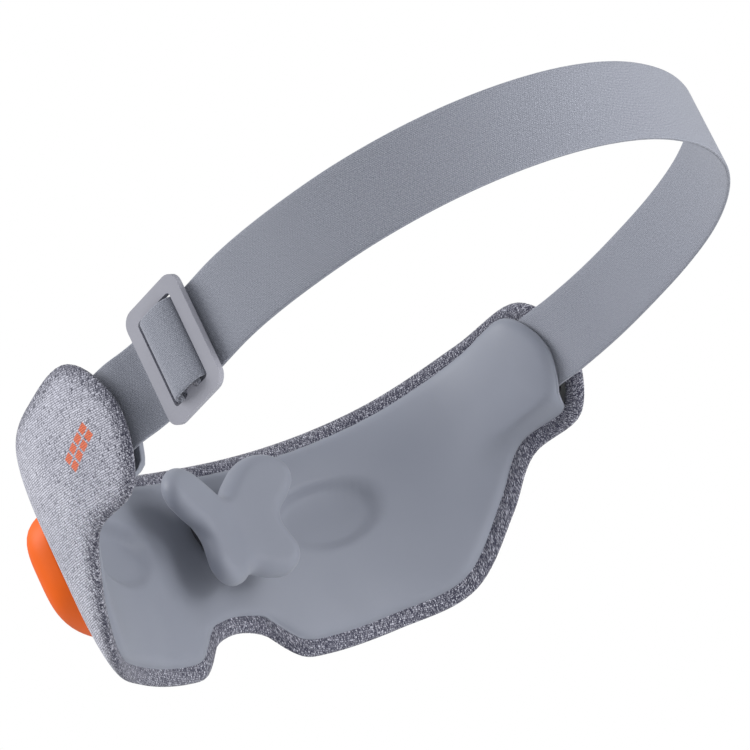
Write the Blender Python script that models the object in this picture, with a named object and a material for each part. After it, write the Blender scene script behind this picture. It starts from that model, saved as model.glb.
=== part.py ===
"""Eye massager mask: a soft wrap-round mask with a kneading head at the nose bridge.

The frame: +X is the wearer's left, -Y is the front of the mask, +Z is up. The origin lies on the
middle of the mask's edge line at the nose bridge. Most of the mask is laid out flat first, as a
distance s along the brow line, a height z, and a depth n that grows away from the face. The
function wrap() then bends that flat layout round the head. Lengths are in millimetres until
they reach a mesh, which is in metres.
"""

import math

import bmesh
import bpy
import numpy as np
from mathutils import Matrix, Vector

MM = 0.001

# --- Driving dimensions, in millimetres and degrees ---------------------------------------------

HALF_LENGTH = 150.0  # brow line, from the nose to a wing's tip
TURNING = (0.54, 1.32, 1.09, 0.0, -1.48)  # heading of the brow line, in radians, as powers of s
EDGE_LINE = (  # the mask's outline on the wearer's left: s along the brow line, z
    (0.0, 25.0),
    (37.5, 25.3),
    (75.0, 27.0),
    (112.0, 30.5),
    (138.5, 30.6),
    (150.0, 11.3),
    (141.5, -10.0),
    (119.0, -13.0),
    (105.0, -25.4),
    (84.0, -41.6),
    (57.0, -43.5),
    (31.0, -43.9),
    (21.5, -42.8),
    (15.5, -38.4),
    (10.5, -33.4),
    (0.0, -30.9),
)
SPINE_HALF = 128.0  # the middle line of the flat layout stops here, and the wing tips fan round it
SPINE_LOW, SPINE_HIGH = -8.0, 10.0  # its height at the nose, and at a wing

GAP = 0.3  # between pieces that touch
RIM_DEPTH = 0.9  # n of the outermost edge
CROWN, SHOULDER = 3.3, 22.0  # how far the front bulges, and how far in from the edge it takes
LIP_DROP, LIP_ROLL, LIP_WIDTH = 2.1, 4.0, 4.6  # the cover's edge, turned in towards the face
CLOTH = 1.1  # the cover's thickness
FRAME_SHEET, FRAME_INSET = 0.6, 5.0
FOAM_INSET, FOAM_BACK = 9.0, 0.7
HEATER_FRONT, HEATER_BACK = 0.45, 0.1
LINER_INSET, LINER_FRONT, LINER_BACK, LINER_EDGE = 5.0, -0.5, -2.1, 3.0
LINER_PAD, LINER_PAD_REACH = 3.4, 16.0  # the liner swells towards the face away from its edge
WING_LIFT, WING_LIFT_FROM, WING_LIFT_OVER = 5.3, 98.0, 40.0  # the liner rises over the strap's end

EYE_S, EYE_Z, EYE_HALF_S, EYE_HALF_Z, EYE_DEPTH = 48.0, -3.2, 23.0, 12.5, 3.4
TROUGH_HALF, TROUGH_LEAN, TROUGH_OVER, TROUGH_DEPTH = 36.0, 0.44, 14.0, 1.0
COLLAR_RADIUS, COLLAR_RISE = 15.0, 2.4
NOSE_HALF, NOSE_DEPTH, NOSE_TOP, NOSE_BOTTOM = 12.0, 1.6, -6.0, -26.0

HEAD_CLEAR = 11.2  # y of the middle of the pad's back
HEAD_THICK = 7.8
HEAD_FOLD, HEAD_FOLD_ROUND = 0.31, 3.5  # the pad's wings lean towards the face
HEAD_LINE = (  # the pad's outline on the wearer's left: x, z
    (0.0, 7.4),
    (4.5, 11.2),
    (10.5, 15.8),
    (16.5, 17.2),
    (22.0, 15.4),
    (25.6, 11.0),
    (25.4, 6.0),
    (21.8, 1.5),
    (17.4, -2.4),
    (16.2, -6.2),
    (17.0, -10.4),
    (17.8, -15.0),
    (16.0, -19.3),
    (11.5, -21.8),
    (6.0, -20.9),
    (0.0, -18.4),
)
SHAFT_RADIUS = 3.0

POD_HALF_S, POD_HALF_Z, POD_Z = 60.0, 23.5, 0.2
POD_PEAK, POD_WALL, POD_STAND = 23.6, 2.0, 1.0
POD_SQUARE, POD_DOME = 3.5, 3.3  # exponents: the pod's outline, and its dome
BASE_THICK = 1.8
BUTTON_RADIUS, BUTTON_PROUD = 6.5, 0.6
RING_INNER, RING_OUTER = 6.9, 8.5

GEAR_MODULE = 0.6
GEAR_TEETH, PINION_TEETH = 36, 12
GEAR_FRONT, GEAR_BACK = -13.6, -11.1
BACKLASH = 0.12

STRAP_WIDTH, STRAP_THICK = 25.0, 1.2
STRAP_TUCK = ((122.0, -2.0), (128.0, -2.6), (134.0, -3.2), (140.0, -4.0))  # s and n inside a wing
STRAP_ROUTE = (  # from the wearer's left wing round the back of the head: x, y, z of its middle
    (91.7, 84.0, 13.0),
    (89.1, 89.0, 13.7),
    (87.3, 93.0, 14.4),
    (86.2, 105.0, 16.0),
    (85.5, 117.0, 17.6),
    (84.8, 129.0, 19.2),
    (83.2, 139.5, 20.2),
    (79.7, 155.5, 21.0),
    (72.0, 174.0, 22.0),
    (59.0, 191.7, 22.8),
    (41.8, 205.2, 23.3),
    (21.4, 213.3, 23.6),
    (-0.6, 215.3, 23.7),
    (-22.3, 211.9, 23.4),
    (-42.7, 204.2, 22.8),
    (-60.8, 192.8, 21.9),
    (-75.6, 177.9, 20.8),
    (-86.6, 160.6, 19.4),
    (-93.2, 141.8, 17.8),
    (-95.8, 123.0, 15.9),
    (-96.0, 105.0, 13.9),
    (-93.6, 89.5, 12.2),
)
BUCKLE_AT = 0.40  # how far along the straight stretch of the strap the buckle sits
BUCKLE_LENGTH, BUCKLE_HEIGHT, BUCKLE_THICK = 23.4, 35.0, 2.0
BUCKLE_BAR, BUCKLE_CENTRE_BAR, BUCKLE_LIFT = 4.3, 3.0, 2.3
BUCKLE_CORNER = 4.0

STATIONS = 12  # of the flat layout, on each side of the nose
FAN = 7  # rays round each wing tip


# --- Curves and the wrap -------------------------------------------------------------------------


def smooth_curve(points, per_span, closed):
    """A centripetal Catmull-Rom curve through the points."""
    points = [np.array(p, float) for p in points]
    if closed:
        path = [points[-1]] + points + points[:2]
    else:
        path = [2 * points[0] - points[1]] + points + [2 * points[-1] - points[-2]]
    out = []
    for p0, p1, p2, p3 in zip(path, path[1:], path[2:], path[3:]):
        t1 = np.linalg.norm(p1 - p0) ** 0.5
        t2 = t1 + np.linalg.norm(p2 - p1) ** 0.5
        t3 = t2 + np.linalg.norm(p3 - p2) ** 0.5
        for t in np.linspace(t1, t2, per_span, endpoint=False):
            a1 = p0 * (t1 - t) / t1 + p1 * t / t1
            a2 = p1 * (t2 - t) / (t2 - t1) + p2 * (t - t1) / (t2 - t1)
            a3 = p2 * (t3 - t) / (t3 - t2) + p3 * (t - t2) / (t3 - t2)
            b1 = a1 * (t2 - t) / t2 + a2 * t / t2
            b2 = a2 * (t3 - t) / (t3 - t1) + a3 * (t - t1) / (t3 - t1)
            out.append(b1 * (t2 - t) / (t2 - t1) + b2 * (t - t1) / (t2 - t1))
    if not closed:
        out.append(points[-1])
    return np.array(out)


def mirrored_loop(half):
    """A closed loop from one half, which runs from its top point to its bottom point on x = 0."""
    return [*half, *[(-x, z) for x, z in reversed(half[1:-1])]]


def brow_table(steps=400):
    """The brow line from the nose to beyond a tip: s, x, y and heading."""
    share = np.linspace(0.0, 1.1, steps)
    heading = sum(k * share ** (power + 1) for power, k in enumerate(TURNING))
    middle = (heading[1:] + heading[:-1]) / 2
    step = (share[1] - share[0]) * HALF_LENGTH
    x = np.concatenate([[0.0], np.cumsum(np.cos(middle)) * step])
    y = np.concatenate([[0.0], np.cumsum(np.sin(middle)) * step])
    return share * HALF_LENGTH, x, y, heading


BROW = brow_table()


def wrap(s, z, n):
    """A point of the flat layout, bent round the head, in millimetres."""
    along, xs, ys, headings = BROW
    side = -1.0 if s < 0 else 1.0
    x = np.interp(abs(s), along, xs)
    y = np.interp(abs(s), along, ys)
    heading = np.interp(abs(s), along, headings)
    return Vector((side * (x + n * math.sin(heading)), y - n * math.cos(heading), z))


def ease(value):
    value = min(max(value, 0.0), 1.0)
    return value * value * (3 - 2 * value)


def bulge(inset, reach):
    """0 at the edge, 1 from reach inwards, rising as a quarter circle."""
    share = min(max(inset / reach, 0.0), 1.0)
    return math.sqrt(1 - (1 - share) ** 2)


EDGE = smooth_curve(mirrored_loop(EDGE_LINE), 12, closed=True)


def inset_of(s, z, loop=EDGE):
    """How far a point of the flat layout lies inside the loop."""
    start = loop
    run = np.roll(loop, -1, axis=0) - start
    to_point = np.array((s, z)) - start
    share = np.clip((to_point * run).sum(1) / (run**2).sum(1), 0, 1)
    return float(np.sqrt(((to_point - share[:, None] * run) ** 2).sum(1)).min())


# --- Depths of the mask's layers -----------------------------------------------------------------


def cover_front(s, z):
    return RIM_DEPTH + CROWN * bulge(inset_of(s, z), SHOULDER)


def cover_back(s, z):
    return RIM_DEPTH - LIP_DROP * bulge(inset_of(s, z), LIP_ROLL)


def cover_inner_front(s, z):
    return RIM_DEPTH + (CROWN - CLOTH) * bulge(inset_of(s, z) - CLOTH, SHOULDER - CLOTH)


def cover_inner_back(s, z):
    return RIM_DEPTH - (LIP_DROP - CLOTH) * bulge(inset_of(s, z) - CLOTH, LIP_ROLL - CLOTH)


def frame_front(s, z):
    return cover_inner_front(s, z) - GAP


def frame_back(s, z):
    return frame_front(s, z) - FRAME_SHEET


def foam_front(s, z):
    return frame_back(s, z) - GAP - 0.1


def eye_hollow(s, z):
    """An oval hollow in front of each eye, deepest under its upper edge."""
    away = math.hypot((abs(s) - EYE_S) / EYE_HALF_S, (z - EYE_Z) / EYE_HALF_Z)
    floor = EYE_DEPTH * (0.35 + 0.65 * ease((z - EYE_Z + EYE_HALF_Z) / (1.6 * EYE_HALF_Z)))
    return floor * ease(2.6 * (1 - away))


def nose_hollow(s, z):
    """A channel down to the notch, where the nose comes in."""
    return NOSE_DEPTH * math.exp(-((s / NOSE_HALF) ** 2)) * ease((NOSE_TOP - z) / (NOSE_TOP - NOSE_BOTTOM))


def trough(s, z):
    """The shallow trough between the eyes, wider towards the cheeks, with a collar for the head."""
    collar = COLLAR_RISE * ease(1.5 * (1 - math.hypot(s, z) / COLLAR_RADIUS))
    return TROUGH_DEPTH * ease((TROUGH_HALF - TROUGH_LEAN * z - abs(s)) / TROUGH_OVER) - collar


def wing_lift(s, z):
    return WING_LIFT * ease((abs(s) - WING_LIFT_FROM) / WING_LIFT_OVER) * ease((z + 8) / 5)


def hollows(s, z):
    middle = (trough(s, z) + nose_hollow(s, z)) * bulge(inset_of(s, z) - LINER_INSET, 10.0)
    return max(eye_hollow(s, z), middle) if abs(s) > COLLAR_RADIUS else middle


def level(depth):
    """A layer's surface at one depth."""
    return lambda s, z: depth


def liner_front(s, z):
    return LINER_FRONT - wing_lift(s, z)


def liner_back(s, z):
    inset = inset_of(s, z)
    thick = (LINER_FRONT - LINER_BACK) * (0.25 + 0.75 * bulge(inset - LINER_INSET, LINER_EDGE))
    pad = LINER_PAD * bulge(inset - LINER_INSET, LINER_PAD_REACH)
    return liner_front(s, z) - max(thick + pad - hollows(s, z), 0.9)


# --- Sheets: loops of rays that meshes are lofted over -------------------------------------------


class Sheet:
    """Rays from seats inside a closed loop out to the loop, in order round it."""

    def __init__(self, loop, seats, rays):
        self.seats = [np.array(seat, float) for seat in seats]
        self.seat_of = [index for index, _ in rays]
        self.rays = [np.array((math.cos(angle), math.sin(angle))) for _, angle in rays]
        self.reach = []
        self.slant = []
        for index, ray in zip(self.seat_of, self.rays):
            reach, run = self.meet(loop, self.seats[index], ray)
            self.reach.append(reach)
            self.slant.append(max(abs(ray[0] * run[1] - ray[1] * run[0]), 0.5))

    @staticmethod
    def meet(loop, seat, ray):
        """The distance to the loop along a ray, and the loop's direction there."""
        run = np.roll(loop, -1, axis=0) - loop
        offset = loop - seat
        cross = ray[0] * run[:, 1] - ray[1] * run[:, 0]
        cross[abs(cross) < 1e-12] = 1e-12
        distance = (offset[:, 0] * run[:, 1] - offset[:, 1] * run[:, 0]) / cross
        share = (offset[:, 0] * ray[1] - offset[:, 1] * ray[0]) / cross
        hit = (share >= -1e-9) & (share <= 1 + 1e-9) & (distance > 0)
        index = np.flatnonzero(hit)[distance[hit].argmin()]
        return distance[index], run[index] / np.linalg.norm(run[index])

    def ring(self, inset, share):
        """One point per ray: share of the way out to the line that lies inset inside the loop."""
        points = []
        for index, ray, reach, slant in zip(self.seat_of, self.rays, self.reach, self.slant):
            out = reach - min(inset / slant, inset * reach / 14)
            points.append(self.seats[index] + ray * out * share)
        return points


def mask_sheet():
    """The whole mask: rays up and down from its middle line, and fans round the tips."""
    stations = [SPINE_HALF * i / STATIONS for i in range(-STATIONS, STATIONS + 1)]
    seats = []
    for s in stations:
        seats.append((s, SPINE_LOW + (SPINE_HIGH - SPINE_LOW) * ease((abs(s) - 50) / 70)))
    last = len(seats) - 1
    turn = math.pi / (FAN + 1)
    up, down = math.pi / 2, -math.pi / 2
    rays = [(i, up) for i in range(last + 1)]
    rays += [(last, up - turn * k) for k in range(1, FAN + 1)]
    rays += [(i, down) for i in range(last, -1, -1)]
    rays += [(0, down - turn * k) for k in range(1, FAN + 1)]
    return Sheet(EDGE, seats, rays)


def round_sheet(loop, centre, count, start=math.pi / 2):
    """A sheet with one seat in the middle."""
    return Sheet(loop, [centre], [(0, start - 2 * math.pi * k / count) for k in range(count)])


def superellipse(centre, half_s, half_z, exponent, count=96):
    points = []
    for k in range(count):
        angle = 2 * math.pi * k / count
        c, s = math.cos(angle), math.sin(angle)
        x = half_s * math.copysign(abs(c) ** (2 / exponent), c)
        z = half_z * math.copysign(abs(s) ** (2 / exponent), s)
        points.append((centre[0] + x, centre[1] + z))
    return np.array(points)


# --- Meshes and objects --------------------------------------------------------------------------


def clear_scene():
    for obj in list(bpy.data.objects):
        bpy.data.objects.remove(obj, do_unlink=True)


def material(name, colour, roughness, metallic=0.0):
    made = bpy.data.materials.new(name)
    made.use_nodes = True
    shader = made.node_tree.nodes["Principled BSDF"]
    shader.inputs["Base Color"].default_value = (*colour, 1.0)
    shader.inputs["Roughness"].default_value = roughness
    shader.inputs["Metallic"].default_value = metallic
    return made


def add(name, mesh_data, finish, pivot=(0.0, 0.0, 0.0), smooth=40.0):
    """An object from a bmesh in millimetres of the whole part, with its origin at the pivot."""
    bmesh.ops.recalc_face_normals(mesh_data, faces=mesh_data.faces)
    if mesh_data.calc_volume(signed=True) < 0:
        bmesh.ops.reverse_faces(mesh_data, faces=mesh_data.faces)
    move = Matrix.Scale(MM, 4) @ Matrix.Translation(-Vector(pivot))
    bmesh.ops.transform(mesh_data, matrix=move, verts=mesh_data.verts)
    mesh = bpy.data.meshes.new(name)
    mesh_data.to_mesh(mesh)
    mesh_data.free()
    if smooth:
        mesh.shade_smooth()
        mesh.set_sharp_from_angle(angle=math.radians(smooth))
    mesh.materials.append(finish)
    obj = bpy.data.objects.new(name, mesh)
    obj.location = Vector(pivot) * MM
    bpy.context.scene.collection.objects.link(obj)
    return obj


def cut(obj, cutter):
    """Cuts one object with another, which stays in the scene as a hidden guide."""
    cutter.hide_render = True
    cutter.display_type = "WIRE"
    modifier = obj.modifiers.new("cut_" + cutter.name, "BOOLEAN")
    modifier.operation = "DIFFERENCE"
    modifier.solver = "EXACT"
    modifier.object = cutter


def loft(sheet, rings, place):
    """A bmesh through rings over a sheet. A ring is (inset, share, depth), and share 0 is a seat.

    depth(s, z) gives n, and place(s, z, n) gives the point.
    """
    made = bmesh.new()
    rows = []
    for inset, share, depth in rings:
        if share == 0:
            verts = [made.verts.new(place(s, z, depth(s, z))) for s, z in sheet.seats]
            rows.append([verts[index] for index in sheet.seat_of])
        else:
            points = sheet.ring(inset, share)
            rows.append([made.verts.new(place(s, z, depth(s, z))) for s, z in points])
    skin(made, rows)
    return made


def skin(made, rows):
    """Faces between each two neighbouring rows of points, which close round."""
    for near, far in zip(rows, rows[1:]):
        for k in range(len(near)):
            after = (k + 1) % len(near)
            corners = list(dict.fromkeys([near[k], near[after], far[after], far[k]]))
            if len(corners) > 2:
                made.faces.new(corners)


def turned(profile, centre=(0.0, 0.0), count=32):
    """A solid turned about an axis along Y, from (radius, y) pairs. Radius 0 closes it."""
    made = bmesh.new()
    rows = []
    for radius, y in profile:
        if radius == 0:
            rows.append([made.verts.new((centre[0], y, centre[1]))] * count)
            continue
        row = []
        for k in range(count):
            angle = 2 * math.pi * k / count
            x = centre[0] + radius * math.cos(angle)
            row.append(made.verts.new((x, y, centre[1] + radius * math.sin(angle))))
        rows.append(row)
    if profile[0][0] > 0:
        rows.append(rows[0])
    skin(made, rows)
    return made


def block(low, high, bevel=0.0, segments=2):
    """A box between two corners, with its edges rounded."""
    made = bmesh.new()
    bmesh.ops.create_cube(made, size=1.0)
    size = Vector(high) - Vector(low)
    middle = (Vector(high) + Vector(low)) / 2
    matrix = Matrix.Translation(middle) @ Matrix.Diagonal((*size, 1.0))
    bmesh.ops.transform(made, matrix=matrix, verts=made.verts)
    if bevel:
        bmesh.ops.bevel(made, geom=made.edges[:], offset=bevel, segments=segments, affect="EDGES", profile=0.5)
    return made


def prism(outline, low, high, place):
    """Extrudes a closed outline between two levels, each point given by place(u, v, level)."""
    made = bmesh.new()
    bottom = [made.verts.new(place(u, v, low)) for u, v in outline]
    top = [made.verts.new(place(u, v, high)) for u, v in outline]
    made.faces.new(bottom)
    made.faces.new(top[::-1])
    for k in range(len(outline)):
        after = (k + 1) % len(outline)
        made.faces.new((bottom[k], bottom[after], top[after], top[k]))
    return made


def pin_cutters(name, pins, low, high):
    """One guide object of several round pins along Y."""
    made = bmesh.new()
    for x, z, radius in pins:
        pin = turned([(0, low), (radius, low), (radius, high), (0, high)], (x, z), 24)
        mesh = bpy.data.meshes.new("pin")
        pin.to_mesh(mesh)
        pin.free()
        made.from_mesh(mesh)
        bpy.data.meshes.remove(mesh)
    return add(name, made, guide_finish(), smooth=0)


def guide_finish():
    return bpy.data.materials.get("guide") or material("guide", (0.5, 0.5, 0.5), 0.5)


# --- The mask ------------------------------------------------------------------------------------

SCREWS = ((-15.0, -9.0), (15.0, -9.0), (-15.0, 16.0), (15.0, 16.0))
SCREW_RADIUS, SCREW_HOLE, SCREW_HEAD = 1.0, 1.4, 2.2
HUB_RADIUS, HUB_HOLE = 5.0, 5.5
FOAM_WINDOW = 12.0
LINER_HOLE = 6.5


def make_mask(finish):
    sheet = mask_sheet()
    holes = pin_cutters(
        "hole_guide", [(0.0, 0.0, HUB_HOLE)] + [(x, z, SCREW_HOLE) for x, z in SCREWS], -40.0, 20.0
    )
    window = pin_cutters("window_guide", [(0.0, 0.0, FOAM_WINDOW)], -40.0, 30.0)
    stem = pin_cutters("stem_guide", [(0.0, 0.0, LINER_HOLE)], -40.0, 30.0)

    cover = loft(
        sheet,
        [
            (0, 0, cover_front),
            (11.0, 0.5, cover_front),
            (11.0, 1, cover_front),
            (6.0, 1, cover_front),
            (2.8, 1, cover_front),
            (0.8, 1, cover_front),
            (0.0, 1, cover_front),
            (0.7, 1, cover_back),
            (2.2, 1, cover_back),
            (LIP_WIDTH, 1, cover_back),
            (LIP_WIDTH, 1, cover_inner_back),
            (2.4, 1, cover_inner_back),
            (CLOTH, 1, cover_inner_back),
            (2.4, 1, cover_inner_front),
            (6.0, 1, cover_inner_front),
            (11.0, 1, cover_inner_front),
            (11.0, 0.5, cover_inner_front),
            (0, 0, cover_inner_front),
        ],
        wrap,
    )
    cut(add("fabric_cover", cover, finish["fabric"]), holes)

    inset = FRAME_INSET
    frame = loft(
        sheet,
        [
            (0, 0, frame_front),
            (11.0, 0.5, frame_front),
            (11.0, 1, frame_front),
            (inset, 1, frame_front),
            (inset, 1, frame_back),
            (11.0, 1, frame_back),
            (11.0, 0.5, frame_back),
            (0, 0, frame_back),
        ],
        wrap,
    )
    cut(add("flex_frame", frame, finish["frame"]), holes)

    inset = FOAM_INSET
    foam = loft(
        sheet,
        [
            (0, 0, foam_front),
            (11.0, 0.5, foam_front),
            (11.0, 1, foam_front),
            (inset, 1, foam_front),
            (inset, 1, level(FOAM_BACK)),
            (11.0, 1, level(FOAM_BACK)),
            (11.0, 0.5, level(FOAM_BACK)),
            (0, 0, level(FOAM_BACK)),
        ],
        wrap,
    )
    core = add("foam_core", foam, finish["foam"])
    cut(core, window)
    cut(core, holes)

    inset = LINER_INSET
    liner = loft(
        sheet,
        [
            (0, 0, liner_front),
            (11.0, 0.5, liner_front),
            (11.0, 1, liner_front),
            (inset, 1, liner_front),
            (inset, 1, liner_back),
            (inset + 0.9, 1, liner_back),
            (inset + 3.0, 1, liner_back),
            (11.0, 1, liner_back),
            (11.0, 0.75, liner_back),
            (11.0, 0.5, liner_back),
            (11.0, 0.25, liner_back),
            (0, 0, liner_back),
        ],
        wrap,
    )
    cut(add("silicone_liner", liner, finish["silicone"]), stem)


def make_heaters(finish):
    for side, name in ((1, "heater_left"), (-1, "heater_right")):
        centre = (side * 62.0, -8.0)
        sheet = round_sheet(superellipse(centre, 34.0, 19.0, 2.4), centre, 28)
        steps = (0, 0.25, 0.5, 0.75, 1)
        rings = [(0, share, level(HEATER_FRONT)) for share in steps]
        rings += [(0, share, level(HEATER_BACK)) for share in reversed(steps)]
        add(name, loft(sheet, rings, wrap), finish["film"])


# --- The massage head and its drive --------------------------------------------------------------


def head_place(x, z, n):
    """The pad's own layout: n grows towards the face from the middle of its back."""
    fold = HEAD_FOLD * (math.hypot(x, HEAD_FOLD_ROUND) - HEAD_FOLD_ROUND)
    return Vector((x, HEAD_CLEAR + fold + n, z))


def make_head(finish):
    loop = smooth_curve(mirrored_loop(HEAD_LINE), 8, closed=True)
    sheet = round_sheet(loop, (0.0, -2.0), 56)

    def face(x, z):
        return HEAD_THICK * (0.45 + 0.55 * bulge(inset_of(x, z, loop), 4.5))

    def back(x, z):
        return HEAD_THICK * 0.45 * (1 - bulge(inset_of(x, z, loop), 3.0))

    rings = [
        (0, 0, face),
        (0, 0.5, face),
        (4.0, 1, face),
        (1.8, 1, face),
        (0.5, 1, face),
        (0.0, 1, face),
        (0.5, 1, back),
        (1.5, 1, back),
        (3.2, 1, back),
        (0, 0.5, back),
        (0, 0, back),
    ]
    add("head_pad", loft(sheet, rings, head_place), finish["silicone"])
    top = HEAD_CLEAR - GAP
    carrier = turned(
        [(0, top), (8.5, top), (9.5, top - 0.8), (9.5, top - 2.2), (7.0, top - 3.0), (5.2, top - 3.6),
         (5.2, 3.4), (SHAFT_RADIUS + GAP, 3.4), (SHAFT_RADIUS + GAP, 9.2), (0, 9.2)]
    )
    add("head_carrier", carrier, finish["dark_plastic"])
    shaft = turned(
        [(0, 8.9), (SHAFT_RADIUS - 0.4, 8.9), (SHAFT_RADIUS, 8.5), (SHAFT_RADIUS, -14.2),
         (SHAFT_RADIUS - 0.4, -14.6), (0, -14.6)]
    )
    add("head_shaft", shaft, finish["steel"])
    inner = SHAFT_RADIUS + GAP
    bush = turned(
        [(inner, 2.4), (HUB_RADIUS - 0.4, 2.4), (HUB_RADIUS, 2.0), (HUB_RADIUS, -8.0), (7.5, -8.0),
         (7.5, -9.2), (inner, -9.2)]
    )
    add("shaft_bush", bush, finish["brass"])


def gear_outline(teeth, turn=0.0):
    """A spur gear's outline, with straight-sided teeth."""
    pitch = GEAR_MODULE * teeth / 2
    tip, root = pitch + GEAR_MODULE, pitch - 1.15 * GEAR_MODULE
    step = 2 * math.pi / teeth
    half = step / 4 - BACKLASH / 2 / pitch
    points = []
    for k in range(teeth):
        middle = turn + k * step
        for radius, share in ((root, -1.55), (tip, -0.5), (tip, 0.5), (root, 1.55)):
            angle = middle + share * half
            points.append((radius * math.cos(angle), radius * math.sin(angle)))
    return points


def make_drive(finish):
    reach = GEAR_MODULE * (GEAR_TEETH + PINION_TEETH) / 2 + 0.05

    def at(centre_x):
        return lambda u, v, level: Vector((centre_x + u, level, v))

    gear = add(
        "drive_gear", prism(gear_outline(GEAR_TEETH), GEAR_FRONT, GEAR_BACK, at(0.0)), finish["nylon"], smooth=20
    )
    cut(gear, pin_cutters("gear_bore_guide", [(0.0, 0.0, SHAFT_RADIUS + GAP)], -40.0, 30.0))
    half_tooth = math.pi / PINION_TEETH
    pinion = prism(gear_outline(PINION_TEETH, half_tooth), GEAR_FRONT, GEAR_BACK, at(reach))
    add("pinion", pinion, finish["brass"], pivot=(reach, 0.0, 0.0), smooth=20)
    motor = turned(
        [(0, -13.9), (2.2, -13.9), (2.2, -15.0), (6.6, -15.0), (7.0, -15.4), (7.0, -19.6), (6.6, -20.0),
         (0, -20.0)],
        (reach, 0.0),
    )
    add("gear_motor", motor, finish["steel"])

    plate = block((-11.5, -10.8, -12.0), (25.0, -9.5, 12.0), 0.4, 1)
    chassis = add("drive_chassis", plate, finish["dark_plastic"], smooth=0)
    cut(chassis, pin_cutters("chassis_guide", [(0.0, 0.0, SHAFT_RADIUS + GAP), (reach, 0.0, 2.4)], -20.0, 0.0))
    return reach


# --- The pod on the front ------------------------------------------------------------------------


def pod_edge(s, z):
    """Just clear of the cover."""
    return cover_front(s, z) + POD_STAND


def pod_depth(s, z, wall=0.0):
    """The dome's surface, or a surface the wall's thickness inside it."""
    half_s, half_z = POD_HALF_S - wall, POD_HALF_Z - wall
    share = (abs(s / half_s) ** POD_SQUARE + abs((z - POD_Z) / half_z) ** POD_SQUARE) ** (1 / POD_SQUARE)
    edge = pod_edge(s, z)
    rise = max(1 - min(share, 1.0) ** POD_DOME, 0.0) ** (1 / POD_DOME)
    return edge + (POD_PEAK - wall - edge) * rise


def make_pod(finish):
    centre = (0.0, POD_Z)
    outer = round_sheet(superellipse(centre, POD_HALF_S, POD_HALF_Z, POD_SQUARE), centre, 48)
    inner_loop = superellipse(centre, POD_HALF_S - POD_WALL, POD_HALF_Z - POD_WALL, POD_SQUARE)
    inner = round_sheet(inner_loop, centre, 48)

    made = bmesh.new()
    rows = []
    for sheet, wall, shares in (
        (outer, 0.0, (0, 0.3, 0.55, 0.75, 0.88, 0.96, 1.0)),
        (inner, POD_WALL, (1.0, 0.94, 0.82, 0.6, 0.35, 0)),
    ):
        for share in shares:
            if share == 0:
                s, z = centre
                vert = made.verts.new(wrap(s, z, pod_depth(s, z, wall)))
                rows.append([vert] * len(sheet.rays))
            else:
                points = sheet.ring(0, share)
                rows.append([made.verts.new(wrap(s, z, pod_depth(s, z, wall))) for s, z in points])
    skin(made, rows)
    dome = add("pod_cover", made, finish["orange"])
    cut(dome, pin_cutters("button_guide", [(0.0, POD_Z, RING_OUTER + GAP)], -50.0, -18.0))
    slot = add("port_guide", block((-20.8, -17.8, -40.0), (-10.2, -13.0, -12.0), 1.4), guide_finish(), smooth=0)
    cut(dome, slot)

    base_loop = superellipse(centre, POD_HALF_S - POD_WALL - 1.0, POD_HALF_Z - POD_WALL - 1.0, POD_SQUARE)
    base_sheet = round_sheet(base_loop, centre, 40)

    def base_back(s, z):
        return pod_edge(s, z)

    def base_front(s, z):
        return pod_edge(s, z) + BASE_THICK

    rings = [
        (0, 0, base_front),
        (0, 0.4, base_front),
        (0, 0.75, base_front),
        (0, 1, base_front),
        (0, 1, base_back),
        (0, 0.9, base_back),
        (0, 0.75, base_back),
        (0, 0.4, base_back),
        (0, 0, base_back),
    ]
    base = add("pod_base", loft(base_sheet, rings, wrap), finish["dark_plastic"])
    base_holes = [(0.0, 0.0, HUB_HOLE)] + [(x, z, SCREW_HOLE) for x, z in SCREWS]
    cut(base, pin_cutters("base_guide", base_holes, -40.0, 30.0))


def make_electronics(finish):
    back, front = -16.5, -17.5
    add("circuit_board", block((-22.0, front, -9.0), (6.0, back, 10.0)), finish["board"], smooth=0)
    switch_top = front - GAP - 1.8
    add("button_switch", block((-3.0, switch_top, POD_Z - 3.0), (3.0, front - GAP, POD_Z + 3.0), 0.3, 1),
        finish["black"], smooth=0)
    add("battery", block((-37.0, -15.2, -7.0), (-13.5, -9.0, 10.0), 1.2), finish["battery"], smooth=30)
    port = block((-20.0, -17.0, -17.2), (-11.0, -13.8, -10.2), 1.2)
    socket = add("charging_port", port, finish["steel"], smooth=30)
    cut(socket, add("socket_guide", block((-19.5, -16.5, -30.0), (-11.5, -14.3, -11.6), 0.9), guide_finish(), smooth=0))
    tip = -POD_PEAK
    cap = BUTTON_RADIUS
    button = turned(
        [(0, tip - BUTTON_PROUD), (cap - 1.6, tip - BUTTON_PROUD), (cap - 0.5, tip - BUTTON_PROUD + 0.3),
         (cap, tip - BUTTON_PROUD + 0.9), (cap, tip + 2.0), (2.0, tip + 2.0), (2.0, switch_top - 1.0), (0, switch_top - 1.0)],
        (0.0, POD_Z),
    )
    add("power_button", button, finish["orange"], pivot=(0.0, tip, POD_Z))
    ring = turned(
        [(RING_INNER, tip + 0.1), (RING_OUTER, tip + 0.5), (RING_OUTER, tip + 2.1), (RING_INNER, tip + 2.1)],
        (0.0, POD_Z),
    )
    add("light_ring", ring, finish["clear"])


def make_screws(finish):
    for index, (x, z) in enumerate(SCREWS, 1):
        seat = wrap(x, z, cover_front(x, z) + POD_STAND + BASE_THICK).y - 0.45
        screw = turned(
            [(0, seat - 1.5), (SCREW_HEAD - 0.4, seat - 1.5), (SCREW_HEAD, seat - 1.1), (SCREW_HEAD, seat),
             (SCREW_RADIUS, seat), (SCREW_RADIUS, seat + 5.8), (0, seat + 6.4)],
            (x, z), 16,
        )
        add(f"pod_screw_{index}", screw, finish["steel"])


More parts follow.
